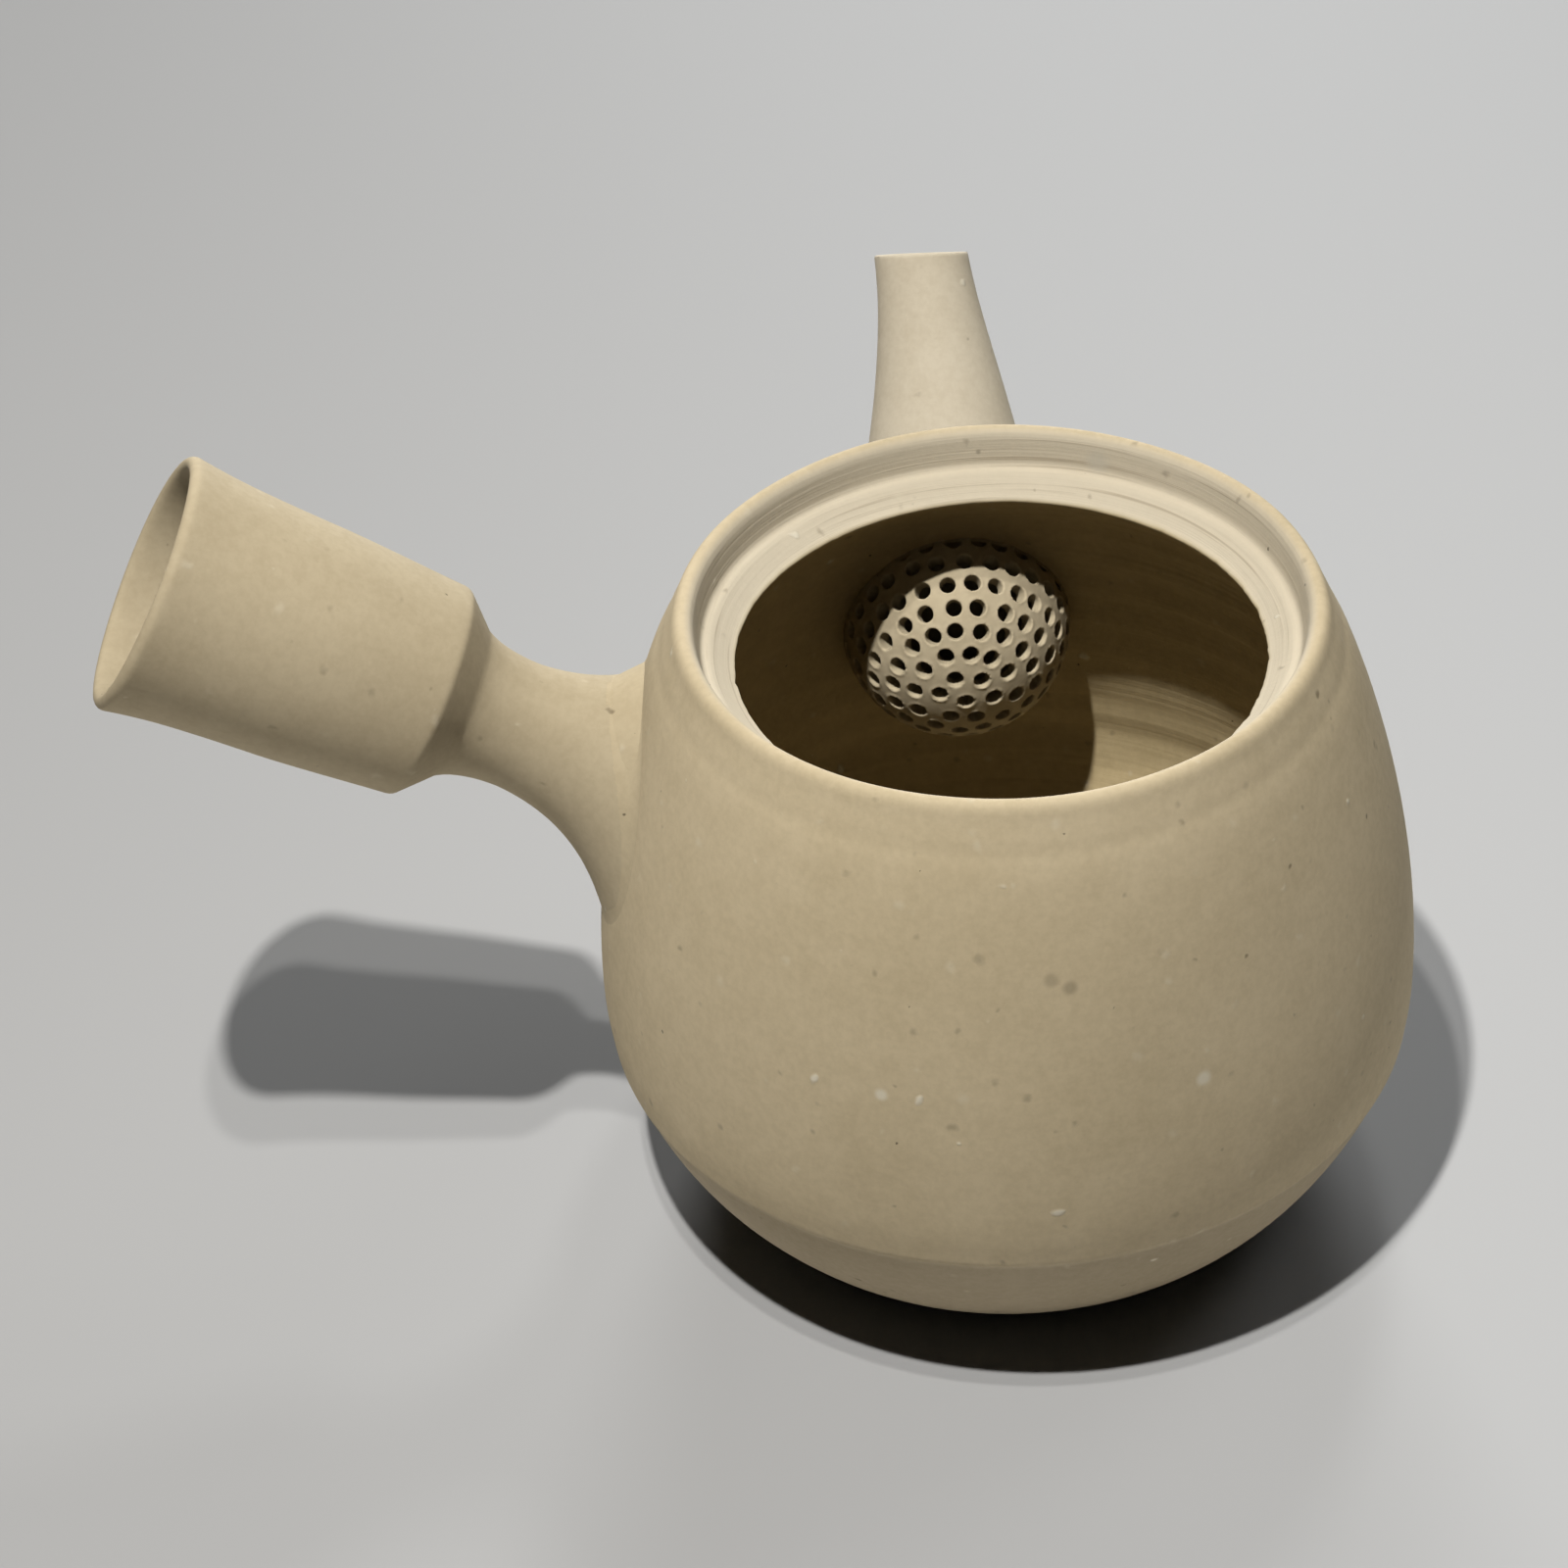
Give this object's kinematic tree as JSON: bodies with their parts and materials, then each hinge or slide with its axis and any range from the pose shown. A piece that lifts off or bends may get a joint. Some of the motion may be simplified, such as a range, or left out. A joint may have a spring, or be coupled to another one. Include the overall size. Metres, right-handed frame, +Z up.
{
  "type": "teapot",
  "caption": "Unglazed clay side-handled teapot with an open mouth, a lid seat inside its rim, a pierced ball strainer, a hollow flared handle and a cut spout.",
  "frame": {"origin": "centre of the flat foot, on the pot's throwing axis, on the surface it stands on", "axes": "+Z up along the pot's axis, +Y towards the spout, -X towards the handle, which rises and turns a few degrees towards +Y"},
  "size_m": [0.1438, 0.1205, 0.0942],
  "materials": {
    "body_clay": "unglazed matte stoneware, beige, with fine pale and dark specks",
    "handle_clay": "unglazed matte stoneware, beige, with fine pale and dark specks",
    "spout_clay": "unglazed matte stoneware, beige, with fine pale and dark specks",
    "strainer_clay": "unglazed matte stoneware, cream, smoothed, with burred piercings",
    "luting_clay": "unglazed matte stoneware, wiped smooth"
  },
  "bodies": {
    "root": {"pot_body": "body_clay", "handle": "handle_clay", "spout": "spout_clay", "ball_strainer": "strainer_clay", "handle_joint_clay": "luting_clay", "spout_joint_clay": "luting_clay", "strainer_joint_clay": "luting_clay"}
  },
  "joints": []
}
